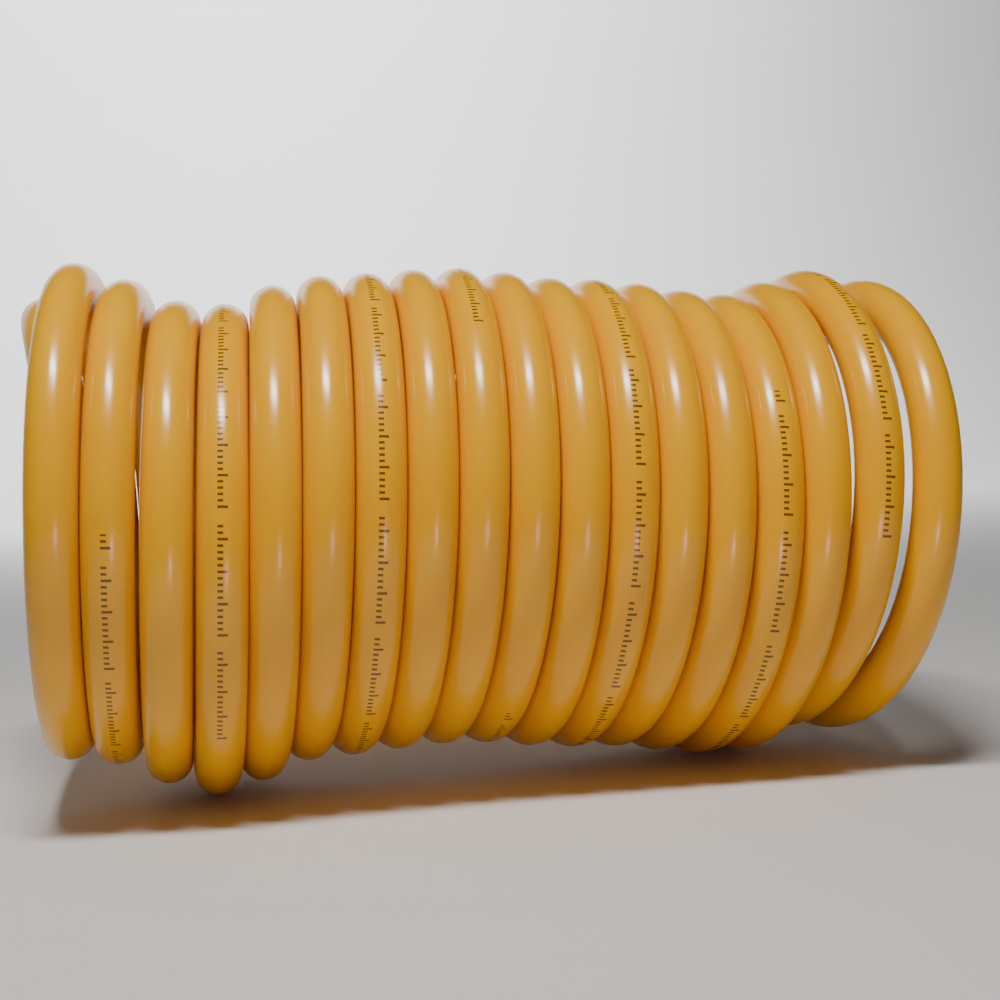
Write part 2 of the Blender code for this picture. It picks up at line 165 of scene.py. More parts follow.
# ---------------------------------------------------------------- sizes
@dataclass(frozen=True)
class HoseSize:
    """Sizes of the tube and its coil, in metres; sag and lean are in hose diameters."""

    outside: float = 0.0127
    inside: float = 0.009525
    gap: float = 0.0003
    turns: int = 18
    mean_d: float = 0.1235
    end_splay: float = 0.0022
    first_turn: float = 0.5
    sag_knots: tuple[tuple[float, float], ...] = (
        (0.0, 0.51),
        (1.0, 0.48),
        (3.9, -0.52),
        (6.0, 0.09),
        (9.0, 0.21),
        (12.0, -0.10),
        (15.5, -0.52),
        (17.0, 0.02),
        (18.5, -0.28),
    )
    wander_knots: tuple[tuple[float, float], ...] = (
        (1.0, 0.00),
        (1.5, 0.04),
        (2.0, -0.02),
        (2.5, 0.04),
        (3.0, 0.00),
        (3.5, 0.02),
        (4.5, 0.00),
        (15.8, -0.12),
        (16.3, -0.12),
        (17.0, 0.03),
        (17.25, -0.20),
        (17.6, -0.05),
        (18.0, 0.11),
        (18.5, 0.00),
    )
    lean_first: float = 0.03
    lean_last: float = 0.35

    @property
    def pitch(self) -> float:
        """Distance between turns."""
        return self.outside + self.gap

    @property
    def radius(self) -> float:
        """Mean radius of the coil."""
        return self.mean_d / 2

    @property
    def last_turn(self) -> float:
        """Turn number where the outlet end leaves the coil."""
        return self.first_turn + self.turns


@dataclass(frozen=True)
class TailSize:
    """How the two ends leave the coil, in metres."""

    leaves_at: float = 0.50
    inward_from: float = 0.38
    inward_turns: float = 0.30
    along_turns: float = 0.40
    nests_at: float = -0.04
    nest_beside: float = 0.42
    nest_shift: float = 0.0010
    nest_gaps: float = 5.0
    sweep_r: float = 0.0660
    outlet_ease: float = 1.25
    even_step: float = 0.0020
    even_passes: int = 220
    even_from: float = 0.0800
    guard_reach: float = 0.1000
    step: float = 0.0040
    bore_depth: float = 0.0300


@dataclass(frozen=True)
class FittingSize:
    """Sizes of the end fittings, in metres, measured from the nose."""

    bore_r: float = 0.0030
    thread_length: float = 0.0140
    nose_r: float = 0.00655
    root_r: float = 0.00705
    thread_pitch: float = 0.001411
    thread_depth: float = 0.00085
    thread_rows: int = 12
    vee_sharpness: float = 1.16
    vee_flat: float = 0.08
    relief: float = 0.0007
    chamfer: float = 0.0006
    hex_start: float = 0.0145
    body_flat: float = 0.00795
    rigid_hex: float = 0.0080
    swivel_hex: float = 0.0100
    neck_r: float = 0.0082
    neck_length: float = 0.0075
    neck_play: float = 0.0001
    edge: float = 0.0003
    soft_edge: float = 0.0004
    stem_r: float = 0.0038
    barb_r: float = 0.0043
    stem_length: float = 0.0200
    stem_plain: float = 0.0010
    barbs: int = 4
    barb_rise_start: float = 0.0002
    barb_rise_end: float = 0.0010
    barb_top_end: float = 0.0014
    stem_edge: float = 0.0004
    nut_flat: float = 0.009525
    nut_length: float = 0.0225
    nut_hex_share: float = 0.66
    nut_groove: float = 0.0004
    nut_groove_end: float = 0.0010
    nut_collar: float = 0.0014
    nut_edge: float = 0.0005
    pocket: float = 0.0050
    ferrule_length: float = 0.0060
    ferrule_lip: float = 0.0004
    ferrule_taper: float = 0.0012
    wire_d: float = 0.0015
    guard_r: float = 0.0079
    guard_length: float = 0.0520
    guard_turns: int = 12
    guard_stations: int = 36
    wire_end_round: float = 0.0002
    closed_turns: int = 2
    spigot_r: float = 0.0052
    spigot_end: float = 0.0105
    seal_start: float = 0.0130
    seal_groove: float = 0.0023
    seal_groove_r: float = 0.0037
    seal_r: float = 0.00455
    seal_half: float = 0.0008
    clip_r: float = 0.00535
    clip_half: float = 0.0006
    ring_near: float = 0.0028
    ring_far: float = 0.0044
    ring_groove_r: float = 0.0042
    flange_length: float = 0.0016
    flange_r: float = 0.0088


HOSE = HoseSize()
TAIL = TailSize()
FIT = FittingSize()
TURN_LENGTH = math.pi * HOSE.mean_d
MARKS = InkMarks(
    colour=(0.10, 0.032, 0.003),
    first=3.89 * TURN_LENGTH,
    period=2.62 * TURN_LENGTH,
    length=0.73 * TURN_LENGTH,
    cell=0.0014,
    width=0.00060,
    height=0.0025,
    strength=0.90,
)
BORE_ROWS = int(TAIL.bore_depth / TAIL.step)
TUBE_SIDES = 40
TURN_STATIONS = 72
LATHE_SIDES = 72
WIRE_SIDES = 14
RING_SIDES = 64
CHAMFER_SLOPE = 1.732
CHAMFER_SHARES = (0.0, 0.12, 0.25, 0.4, 0.6, 0.8, 1.0)
EASE_POINTS = 80
STRAIGHT_POINTS = 30
SPIRAL_POINTS = 120
SWEEP_POINTS = 60


# ---------------------------------------------------------------- curves
def smooth_step(value: float) -> float:
    """Ease a number in 0..1 with flat ends.

    Args:
        value: Number to ease.

    Returns:
        The eased number.
    """
    value = min(max(value, 0.0), 1.0)
    return value * value * (3.0 - 2.0 * value)


def from_knots(knots: Sequence[tuple[float, float]], where: float) -> float:
    """Read a smooth curve through (place, value) knots.

    Args:
        knots: The knots in order.
        where: Place to read.

    Returns:
        The curve's value there.
    """
    for (left, low), (right, high) in zip(knots, knots[1:]):
        if where <= right:
            return low + (high - low) * smooth_step((where - left) / (right - left))
    return knots[-1][1]


def unit(vector: np.ndarray) -> np.ndarray:
    """Give a vector's direction.

    Args:
        vector: Any vector with a length.

    Returns:
        The vector at length 1.
    """
    return np.asarray(vector, float) / np.linalg.norm(vector)


def square_to(tangent: np.ndarray, away: np.ndarray) -> np.ndarray:
    """Turn a direction until it is square to a line.

    Args:
        tangent: The line's direction.
        away: Direction to turn.

    Returns:
        The nearest direction of length 1 that is square to the line.
    """
    return unit(away - tangent * (away @ tangent))


def directions(points: np.ndarray) -> np.ndarray:
    """Give a line's direction at each of its points.

    Args:
        points: Points of the line.

    Returns:
        One vector of length 1 per point.
    """
    steps = np.gradient(points, axis=0)
    return steps / np.linalg.norm(steps, axis=1)[:, None]


def evenly(points: Iterable[np.ndarray], step: float) -> np.ndarray:
    """Place points at even distances along a finely drawn line.

    Args:
        points: The finely drawn line.
        step: Wanted distance between points.

    Returns:
        The evenly placed points.
    """
    line = np.array(list(points))
    length = np.concatenate([[0.0], np.cumsum(np.linalg.norm(np.diff(line, axis=0), axis=1))])
    count = max(4, int(round(length[-1] / step)))
    at = np.linspace(0.0, length[-1], count + 1)
    return np.stack([np.interp(at, length, line[:, axis]) for axis in range(3)], axis=1)


def ease_between(p0: np.ndarray, d0: np.ndarray, p1: np.ndarray, d1: np.ndarray, reach: float = 1.0) -> list:
    """Draw a smooth curve from one point and direction to another.

    Args:
        p0: First point.
        d0: Direction at the first point.
        p1: Last point.
        d1: Direction at the last point.
        reach: How far each direction is held, as a share of the distance.

    Returns:
        Points of the curve after its first point.
    """
    size = reach * np.linalg.norm(p1 - p0)
    t0, t1 = np.array(d0) * size, np.array(d1) * size
    points = []
    for u in np.linspace(0.0, 1.0, EASE_POINTS)[1:]:
        a = 2 * u**3 - 3 * u**2 + 1
        b = u**3 - 2 * u**2 + u
        points.append(a * p0 + b * t0 + (1 - a) * p1 + (u**3 - u**2) * t1)
    return points


class FittingAxis:
    """A fitting's own axis: the nose sits at distance 0 and distances grow towards the hose."""

    def __init__(self, nose: Sequence[float], towards_hose: Sequence[float]) -> None:
        """Set the axis.

        Args:
            nose: Centre of the nose face.
            towards_hose: Direction from the nose to the hose.
        """
        self.nose = np.array(nose, float)
        self.along = np.array(towards_hose, float)
        self.up = np.array([0.0, 0.0, 1.0])
        self.side = np.cross(self.along, self.up)

    def at(self, distance: float, radius: float = 0.0, angle: float = 0.0) -> np.ndarray:
        """Give a point about the axis.

        Args:
            distance: Distance from the nose.
            radius: Distance from the axis.
            angle: Angle from straight up.

        Returns:
            The point in the row frame.
        """
        off = math.cos(angle) * self.up + math.sin(angle) * self.side
        return self.nose + self.along * distance + off * radius


class HoseLine:
    """Centre line of the whole hose, from the inlet fitting through the coil to the outlet fitting."""

    def __init__(self, inlet: FittingAxis, outlet: FittingAxis, coil_y: float) -> None:
        """Set where the coil lies.

        Args:
            inlet: Axis of the inlet fitting.
            outlet: Axis of the outlet fitting, which starts straight behind the last turn.
            coil_y: Place of the coil's axis along Y.
        """
        self.inlet = inlet
        self.outlet = outlet
        self.shift = np.zeros(3)
        lowest = min(self.sag(turn) for turn in np.linspace(HOSE.first_turn, HOSE.last_turn, 720))
        axis_z = HOSE.radius + HOSE.outside / 2 - lowest
        self.shift = np.array([outlet.nose[0] - self.coil_x(HOSE.last_turn), coil_y, axis_z])

    def coil_x(self, turn: float) -> float:
        """Give a turn's place along X, measured from the coil's middle.

        Args:
            turn: Turn number.

        Returns:
            Distance from the middle turn.
        """
        middle = HOSE.first_turn + HOSE.turns / 2
        return (turn - middle) * HOSE.pitch + HOSE.end_splay * smooth_step(turn - HOSE.last_turn + 1.5)

    def wander(self, turn: float) -> float:
        """Give how far a turn has slipped along the coil's axis from its even place.

        Args:
            turn: Turn number.

        Returns:
            Distance in metres.
        """
        return from_knots(HOSE.wander_knots, turn) * HOSE.outside

    def sag(self, turn: float) -> float:
        """Give how far a turn lies above the coil's straight axis.

        Args:
            turn: Turn number.

        Returns:
            Height in metres.
        """
        return from_knots(HOSE.sag_knots, turn) * HOSE.outside

    def lean(self, turn: float) -> float:
        """Give how far the top of a turn leans towards +X.

        Args:
            turn: Turn number.

        Returns:
            Distance in metres.
        """
        share = (turn - HOSE.first_turn) / HOSE.turns
        return HOSE.outside * (HOSE.lean_first + (HOSE.lean_last - HOSE.lean_first) * share)

    def coil_point(self, turn: float, radius: float = HOSE.radius, x: float | None = None) -> np.ndarray:
        """Give a point of the left-handed coil; whole turn numbers are at the front.

        Args:
            turn: Turn number.
            radius: Distance from the coil's axis.
            x: Place along X where it isn't the turn's own.

        Returns:
            The point in the row frame.
        """
        angle = 2.0 * math.pi * turn
        beside = turn
        if x is None:
            x = self.coil_x(turn) + self.wander(turn)
        else:
            beside = HOSE.first_turn + (x - self.coil_x(HOSE.first_turn)) / HOSE.pitch
        x += self.lean(beside) * math.sin(angle)
        height = self.sag(beside) + radius * math.sin(angle)
        return np.array([x, -radius * math.cos(angle), height]) + self.shift

    def axis_at(self, turn: float) -> np.ndarray:
        """Give the middle of a turn.

        Args:
            turn: Turn number.

        Returns:
            The point of the sagging axis beside that turn.
        """
        return np.array([self.coil_x(turn), 0.0, self.sag(turn)]) + self.shift

    def finish_route(self, fine: list, hose_end: np.ndarray) -> np.ndarray:
        """Even out the bends of a finely drawn line and run it straight to its end.

        Args:
            fine: The finely drawn line.
            hose_end: Where the hose meets its fitting.

        Returns:
            Points of the finished line.
        """
        line = evenly(fine, TAIL.even_step)
        ease = np.minimum(1.0, np.arange(1, len(line) - 1) * TAIL.even_step / TAIL.even_from)[:, None]
        for _ in range(TAIL.even_passes):
            middle = (line[:-2] + line[2:]) / 2.0
            line[1:-1] += ease * (middle - line[1:-1]) / 2.0
        line = np.vstack([line, np.linspace(line[-1], hose_end, STRAIGHT_POINTS)[1:]])
        return evenly(line, TAIL.step)

    def inlet_route(self, hose_end: float) -> np.ndarray:
        """Draw the inlet end, which spirals inside the first turns and then follows the coil's bore.

        Args:
            hose_end: Distance from the nose where the hose ends.

        Returns:
            Points from the coil to the fitting.
        """
        nested_r = HOSE.radius - HOSE.outside - TAIL.nest_gaps * HOSE.gap
        start_x = self.coil_x(TAIL.nest_beside) + HOSE.pitch + TAIL.nest_shift
        fine = []
        for turn in np.linspace(TAIL.leaves_at, TAIL.nests_at, SPIRAL_POINTS):
            inwards = smooth_step((TAIL.inward_from - turn) / TAIL.inward_turns)
            along = smooth_step((TAIL.nests_at + TAIL.along_turns - turn) / TAIL.along_turns)
            own_x = self.coil_x(turn)
            radius = HOSE.radius + (nested_r - HOSE.radius) * inwards
            fine.append(self.coil_point(turn, radius, own_x + (start_x - own_x) * along))
        for sweep in np.linspace(0.0, math.pi / 2, SWEEP_POINTS)[1:]:
            turn = TAIL.nests_at - TAIL.sweep_r * math.sin(sweep) / nested_r / (2.0 * math.pi)
            fine.append(self.coil_point(turn, nested_r, start_x + TAIL.sweep_r * (1.0 - math.cos(sweep))))
        guard_end = self.inlet.at(TAIL.guard_reach)
        fine += ease_between(fine[-1], -self.inlet.along, guard_end, -self.inlet.along)
        return self.finish_route(fine, self.inlet.at(hose_end))

    def outlet_route(self, hose_end: float) -> np.ndarray:
        """Draw the outlet end, which drops from the last turn and then runs back along the floor.

        Args:
            hose_end: Distance from the nose where the hose ends.

        Returns:
            Points from the coil to the fitting.
        """
        start = self.coil_point(HOSE.last_turn)
        along = unit(self.coil_point(HOSE.last_turn + 0.001) - start)
        guard_end = self.outlet.at(TAIL.guard_reach)
        fine = ease_between(start, along, guard_end, -self.outlet.along, TAIL.outlet_ease)
        return self.finish_route(fine, self.outlet.at(hose_end))

    def whole(self, inlet_end: float, outlet_end: float) -> tuple[np.ndarray, np.ndarray]:
        """Join both ends and the coil into one line.

        Args:
            inlet_end: Distance from the inlet nose where the hose ends.
            outlet_end: Distance from the outlet nose where the hose ends.

        Returns:
            The points, and each point's turn number held at the coil's ends beyond them.
        """
        count = int(round((HOSE.last_turn - TAIL.leaves_at) * TURN_STATIONS))
        turns = np.linspace(TAIL.leaves_at, HOSE.last_turn, count + 1)
        inlet = self.inlet_route(inlet_end)[::-1]
        coil = np.array([self.coil_point(turn) for turn in turns])
        outlet = self.outlet_route(outlet_end)
        points = np.vstack([inlet[:-1], coil, outlet[1:]])
        before = np.full(len(inlet) - 1, turns[0])
        after = np.full(len(outlet) - 1, turns[-1])
        return points, np.concatenate([before, turns, after])


# ---------------------------------------------------------------- mesh makers
@dataclass(frozen=True)
class Ring:
    """One ring of a turned piece: distance from the nose, radius, outline and largest radius of a chamfer."""

    at: float
    radius: float
    section: Section = Section.ROUND
    limit: float = 1.0


def finish_mesh(name: str, bm: bmesh.types.BMesh, sharp_degrees: float = 35.0) -> bpy.types.Object:
    """Turn a bmesh into a linked object with outward faces and smooth shading.

    Args:
        name: Name of the object.
        bm: The closed mesh; it is freed.
        sharp_degrees: Edges that turn by more than this stay sharp.

    Returns:
        The new object, at the origin, unturned and unscaled.
    """
    bmesh.ops.recalc_face_normals(bm, faces=bm.faces)
    mesh = bpy.data.meshes.new(name)
    bm.to_mesh(mesh)
    bm.free()
    mesh.shade_smooth()
    mesh.set_sharp_from_angle(angle=math.radians(sharp_degrees))
    obj = bpy.data.objects.new(name, mesh)
    bpy.context.scene.collection.objects.link(obj)
    return obj


def skin_rings(bm: bmesh.types.BMesh, rings: Sequence[Sequence[bmesh.types.BMVert]], closed: bool) -> None:
    """Join neighbouring rings of vertices with quads.

    Args:
        bm: Mesh that holds the rings.
        rings: Rings with the same number of vertices.
        closed: Whether the last ring joins the first.
    """
    sides = len(rings[0])
    pairs = list(zip(rings, rings[1:]))
    if closed:
        pairs.append((rings[-1], rings[0]))
    for low, high in pairs:
        for k in range(sides):
            n = (k + 1) % sides
            bm.faces.new((low[k], low[n], high[n], high[k]))


def hexagon_reach(flat: float, angle: float) -> float:
    """Give a hexagon's reach at an angle.

    Args:
        flat: Distance from the axis to a flat.
        angle: Angle from the middle of a flat.

    Returns:
        Distance from the axis to the outline.
    """
    off = (angle + math.pi / 6) % (math.pi / 3) - math.pi / 6
    return flat / math.cos(off)


def ring_reach(ring: Ring, angle: float) -> float:
    """Give a ring's reach at an angle.

    Args:
        ring: The ring.
        angle: Angle from straight up.

    Returns:
        Distance from the axis.
    """
    if ring.section is Section.ROUND:
        return ring.radius
    return min(hexagon_reach(ring.radius, angle), ring.limit)


def turned(name: str, axis: FittingAxis, profile: Profile, sides: int = LATHE_SIDES) -> bpy.types.Object:
    """Turn a closed profile about a fitting's axis.

    Args:
        name: Name of the object.
        axis: Axis of the fitting.
        profile: Closed loop of rings.
        sides: Number of sides round the axis.

    Returns:
        The new object.
    """
    bm = bmesh.new()
    rings = []
    for ring in profile:
        verts = []
        for k in range(sides):
            angle = 2.0 * math.pi * k / sides
            verts.append(bm.verts.new(axis.at(ring.at, ring_reach(ring, angle), angle)))
        rings.append(verts)
    skin_rings(bm, rings, closed=True)
    return finish_mesh(name, bm)


def swept(
    name: str,
    path: np.ndarray,
    outward: np.ndarray,
    radius: float,
    sides: int,
    end_round: float = 0.0,
) -> bpy.types.Object:
    """Sweep a round solid wire along a path.

    Args:
        name: Name of the object.
        path: Points of the centre line.
        outward: One direction per point, square to the path.
        radius: Radius of the wire.
        sides: Number of sides round the wire.
        end_round: Size of the rounding at the cut ends.

    Returns:
        The new object.
    """
    bm = bmesh.new()
    stations = [(centre, along, out, radius) for centre, along, out in zip(path, directions(path), outward)]
    if end_round > 0.0:
        first, last = stations[0], stations[-1]
        stations.insert(0, (first[0] - first[1] * end_round, first[1], first[2], radius - end_round))
        stations.append((last[0] + last[1] * end_round, last[1], last[2], radius - end_round))
    rings = []
    for centre, along, out, size in stations:
        side = np.cross(along, out)
        rings.append(
            [
                bm.verts.new(centre + size * (math.cos(turn) * out + math.sin(turn) * side))
                for turn in np.linspace(0.0, 2.0 * math.pi, sides, endpoint=False)
            ]
        )
    skin_rings(bm, rings, closed=False)
    bm.faces.new(rings[0][::-1])
    bm.faces.new(rings[-1])
    return finish_mesh(name, bm, 40.0)


# ---------------------------------------------------------------- fitting profiles
def hexagon_length(start: float, end: float, flat: float) -> list[Ring]:
    """Give the rings of a hexagon with both ends chamfered.

    Args:
        start: Distance where the hexagon starts.
        end: Distance where it ends.
        flat: Distance from the axis to a flat.

    Returns:
        The rings from start to end.
    """
    corner = flat / math.cos(math.pi / 6)
    chamfer = (corner - flat) / CHAMFER_SLOPE
    steps = [chamfer * share for share in CHAMFER_SHARES]
    rings = [Ring(start + s, flat, Section.HEXAGON, flat + s * CHAMFER_SLOPE) for s in steps]
    rings += [Ring(end - s, flat, Section.HEXAGON, flat + s * CHAMFER_SLOPE) for s in steps[::-1]]
    return rings


def barbed_stem(neck_end: float) -> list[Ring]:
    """Give the rings of the barbed stem beyond the neck, closed at the bore.

    Args:
        neck_end: Distance where the neck ends.

    Returns:
        The rings from the neck to the bore.
    """
    start = neck_end + FIT.stem_plain
    pitch = (FIT.stem_length - FIT.stem_plain) / FIT.barbs
    rings = [Ring(neck_end, FIT.neck_r - 0.0004), Ring(neck_end, FIT.stem_r)]
    for k in range(FIT.barbs):
        rings.append(Ring(start + k * pitch + FIT.barb_rise_start, FIT.stem_r))
        rings.append(Ring(start + k * pitch + FIT.barb_rise_end, FIT.barb_r))
        rings.append(Ring(start + k * pitch + FIT.barb_top_end, FIT.barb_r))
        rings.append(Ring(start + (k + 1) * pitch, FIT.stem_r))
    end = neck_end + FIT.stem_length + FIT.barb_rise_start
    rings.append(Ring(end, FIT.bore_r + FIT.stem_edge))
    rings.append(Ring(end, FIT.bore_r))
    return rings


class ThreadedEnd:
    """A male end with a cut taper thread, joined to a plain profile."""

    def __init__(self, name: str, axis: FittingAxis, profile: Profile) -> None:
        """Set the piece.

        Args:
            name: Name of the object.
            axis: Axis of the fitting.
            profile: Rings from the hexagon on, closed at the bore.
        """
        self.name = name
        self.axis = axis
        self.profile = profile

    def thread_radius(self, at: float, angle: float) -> float:
        """Give the thread's radius at a place.

        Args:
            at: Distance from the nose.
            angle: Angle from straight up.

        Returns:
            Distance from the axis to the thread's surface.
        """
        crest = FIT.nose_r + (FIT.root_r - FIT.nose_r) * at / FIT.thread_length
        phase = (at / FIT.thread_pitch - angle / (2.0 * math.pi)) % 1.0
        vee = min(1.0, max(0.0, FIT.vee_sharpness * (1.0 - abs(2.0 * phase - 1.0)) - FIT.vee_flat))
        fade_in = smooth_step((at - FIT.chamfer * 0.3) / FIT.chamfer)
        fade_out = smooth_step((FIT.thread_length - 0.0003 - at) / (1.5 * FIT.thread_pitch))
        lead = FIT.chamfer * (1.0 - smooth_step(at / FIT.chamfer))
        return crest - lead - FIT.thread_depth * vee * fade_in * fade_out

    def build(self) -> bpy.types.Object:
        """Make the piece.

        Returns:
            The new object.
        """
        rows = int(round(FIT.thread_length / FIT.thread_pitch * FIT.thread_rows))
        relief = Ring(FIT.thread_length + 0.0002, FIT.root_r - FIT.relief)
        bm = bmesh.new()
        rings = [self.plain_ring(bm, Ring(0.0, FIT.bore_r))]
        for i in range(rows + 1):
            at = FIT.thread_length * i / rows
            points = [self.axis.at(at, self.thread_radius(at, angle), angle) for angle in self.angles()]
            rings.append([bm.verts.new(point) for point in points])
        rings += [self.plain_ring(bm, ring) for ring in [relief, *self.profile]]
        skin_rings(bm, rings, closed=True)
        return finish_mesh(self.name, bm, 32.0)

    def plain_ring(self, bm: bmesh.types.BMesh, ring: Ring) -> list[bmesh.types.BMVert]:
        """Add the vertices of a ring without thread.

        Args:
            bm: Mesh that gets them.
            ring: The ring.

        Returns:
            The new vertices.
        """
        points = [self.axis.at(ring.at, ring_reach(ring, angle), angle) for angle in self.angles()]
        return [bm.verts.new(point) for point in points]

    @staticmethod
    def angles() -> np.ndarray:
        """Give the angles of the sides.

        Returns:
            Angles from straight up, one per side.
        """
        return np.linspace(0.0, 2.0 * math.pi, LATHE_SIDES, endpoint=False)


# ---------------------------------------------------------------- shader building
class NodeSheet:
    """Short ways to add shader nodes to a tree."""

    def __init__(self, tree: bpy.types.NodeTree) -> None:
        """Set the tree.

        Args:
            tree: Shader tree or group that gets the nodes.
        """
        self.tree = tree

    def add(self, kind: str, **settings: object) -> bpy.types.Node:
        """Add a node.

        Args:
            kind: Blender's name of the node.
            **settings: Attributes set on it.

        Returns:
            The new node.
        """
        node = self.tree.nodes.new(kind)
        for key, value in settings.items():
            setattr(node, key, value)
        return node

    def put(self, socket: Socket, value: Socket | float | Sequence[float]) -> None:
        """Link or set a socket.

        Args:
            socket: Input to fill.
            value: Output to link, or a constant.
        """
        if isinstance(value, bpy.types.NodeSocket):
            self.tree.links.new(value, socket)
        else:
            socket.default_value = value

    def math(self, operation: str, *values: Socket | float, clamp: bool = False) -> Socket:
        """Add a math node.

        Args:
            operation: Blender's name of the operation.
            *values: Its inputs.
            clamp: Whether the result is held in 0..1.

        Returns:
            Its output.
        """
        node = self.add("ShaderNodeMath", operation=operation, use_clamp=clamp)
        for socket, value in zip(node.inputs, values):
            self.put(socket, value)
        return node.outputs[0]

    def mix(self, share: Socket | float, low: Tint, high: Tint) -> Socket:
        """Mix two colours.

        Args:
            share: Share of the second colour.
            low: First colour.
            high: Second colour.

        Returns:
            The mixed colour.
        """
        node = self.add("ShaderNodeMix", data_type="RGBA")
        self.put(node.inputs["Factor"], share)
        self.put(node.inputs[6], low)
        self.put(node.inputs[7], high)
        return node.outputs[2]

    def noise(self, vector: Socket, scale: float, detail: float = 3.0) -> Socket:
        """Add a noise texture.

        Args:
            vector: Coordinates.
            scale: Features per metre.
            detail: Number of finer layers.

        Returns:
            Its value output.
        """
        node = self.add("ShaderNodeTexNoise")
        self.put(node.inputs["Vector"], vector)
        self.put(node.inputs["Scale"], scale)
        self.put(node.inputs["Detail"], detail)
        return node.outputs["Fac"]


def rgba(colour: Sequence[float]) -> tuple[float, float, float, float]:
    """Give a colour with full alpha.

    Args:
        colour: Red, green and blue.

    Returns:
        Red, green, blue and alpha.
    """
    return (*colour, 1.0)


def surface_grain_group() -> bpy.types.NodeTree:
    """Make the shared group that breaks up roughness and adds a fine bump.

    Returns:
        The node group.
    """
    group = bpy.data.node_groups.new("Surface grain", "ShaderNodeTree")
    for label, default in (("Scale", 600.0), ("Roughness", 0.3), ("Spread", 0.08), ("Bump", 0.1)):
        socket = group.interface.new_socket(name=label, in_out="INPUT", socket_type="NodeSocketFloat")
        socket.default_value = default
    group.interface.new_socket(name="Vector", in_out="INPUT", socket_type="NodeSocketVector")
    group.interface.new_socket(name="Roughness", in_out="OUTPUT", socket_type="NodeSocketFloat")
    group.interface.new_socket(name="Patches", in_out="OUTPUT", socket_type="NodeSocketFloat")
    group.interface.new_socket(name="Normal", in_out="OUTPUT", socket_type="NodeSocketVector")
    sheet = NodeSheet(group)
    given = sheet.add("NodeGroupInput")
    out = sheet.add("NodeGroupOutput")
    patches = sheet.noise(given.outputs["Vector"], PATCHES_PER_METRE)
    fine = sheet.add("ShaderNodeTexNoise")
    sheet.put(fine.inputs["Vector"], given.outputs["Vector"])
    sheet.put(fine.inputs["Scale"], given.outputs["Scale"])
    sheet.put(fine.inputs["Detail"], 4.0)
    centred = sheet.math("SUBTRACT", patches, 0.5)
    spread = sheet.math("MULTIPLY", centred, given.outputs["Spread"])
    rough = sheet.math("ADD", given.outputs["Roughness"], spread, clamp=True)
    bump = sheet.add("ShaderNodeBump")
    sheet.put(bump.inputs["Strength"], given.outputs["Bump"])
    sheet.put(bump.inputs["Distance"], GRAIN_DEPTH)
    sheet.put(bump.inputs["Height"], fine.outputs["Fac"])
    sheet.put(out.inputs["Roughness"], rough)
    sheet.put(out.inputs["Patches"], patches)
    sheet.put(out.inputs["Normal"], bump.outputs["Normal"])
    return group


